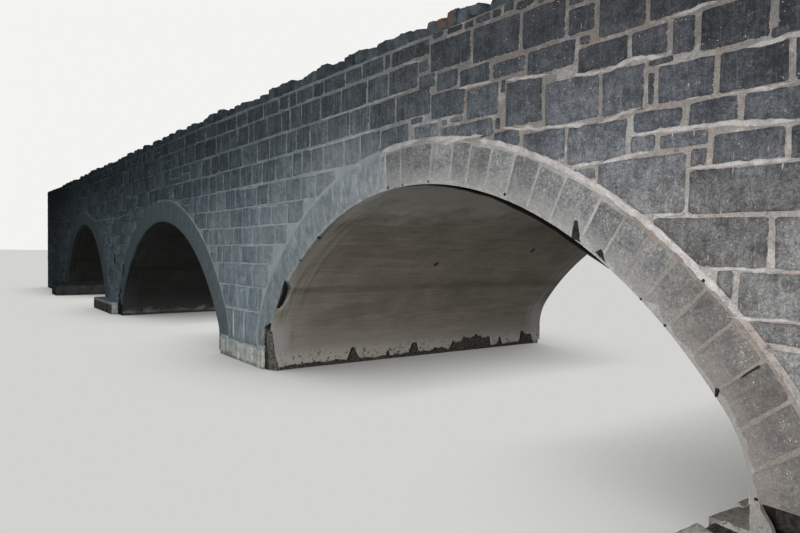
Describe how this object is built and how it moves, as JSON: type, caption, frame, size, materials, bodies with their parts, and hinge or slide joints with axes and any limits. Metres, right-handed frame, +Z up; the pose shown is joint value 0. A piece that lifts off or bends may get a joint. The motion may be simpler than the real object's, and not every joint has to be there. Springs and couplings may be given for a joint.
{
  "type": "stone arch bridge",
  "caption": "Low stone road bridge over a river: flush coursed walls, wedge-stone arch rings, parged barrels, and parapets with rough rubble coping.",
  "frame": {"origin": "on the level of the undersides of the footings, at the middle of the length and of the width", "axes": "+X along the bridge from the far end to the near end, +Y through the bridge from the pictured face to the hidden face, +Z up"},
  "size_m": [35.97, 7.22, 4.5398],
  "materials": {
    "wall_stone": "rough-faced blue-grey limestone, coursed, with raised pale tan mortar joints",
    "ring_stone": "rough-faced limestone arch stones with a pale cement wash towards the soffit",
    "arch_parging": "smooth grey-brown lime parging with damp streaks",
    "footing_concrete": "weathered board-marked concrete with broken edges",
    "rubble_fill": "rubble and earth fill, hidden inside the walls",
    "road_gravel": "rolled fine gravel",
    "coping_stone": "rough rubble limestone coping bedded in mortar"
  },
  "bodies": {
    "root": {"near_pier_footing": "footing_concrete", "far_pier_footing": "footing_concrete", "near_abutment_footing": "footing_concrete", "far_abutment_footing": "footing_concrete", "near_pier": "wall_stone", "far_pier": "wall_stone", "near_abutment": "wall_stone", "far_abutment": "wall_stone", "near_vault": "arch_parging", "middle_vault": "arch_parging", "far_vault": "arch_parging", "near_front_ring": "ring_stone", "middle_front_ring": "ring_stone", "far_front_ring": "ring_stone", "near_back_ring": "ring_stone", "middle_back_ring": "ring_stone", "far_back_ring": "ring_stone", "near_end_front_spandrel": "wall_stone", "near_pier_front_spandrel": "wall_stone", "far_pier_front_spandrel": "wall_stone", "far_end_front_spandrel": "wall_stone", "near_end_back_spandrel": "wall_stone", "near_pier_back_spandrel": "wall_stone", "far_pier_back_spandrel": "wall_stone", "far_end_back_spandrel": "wall_stone", "near_front_wing": "wall_stone", "far_front_wing": "wall_stone", "near_back_wing": "wall_stone", "far_back_wing": "wall_stone", "near_end_wall": "wall_stone", "far_end_wall": "wall_stone", "near_end_fill": "rubble_fill", "near_pier_fill": "rubble_fill", "far_pier_fill": "rubble_fill", "far_end_fill": "rubble_fill", "roadway": "road_gravel", "front_parapet": "wall_stone", "back_parapet": "wall_stone", "front_coping": "coping_stone", "back_coping": "coping_stone"}
  },
  "joints": []
}
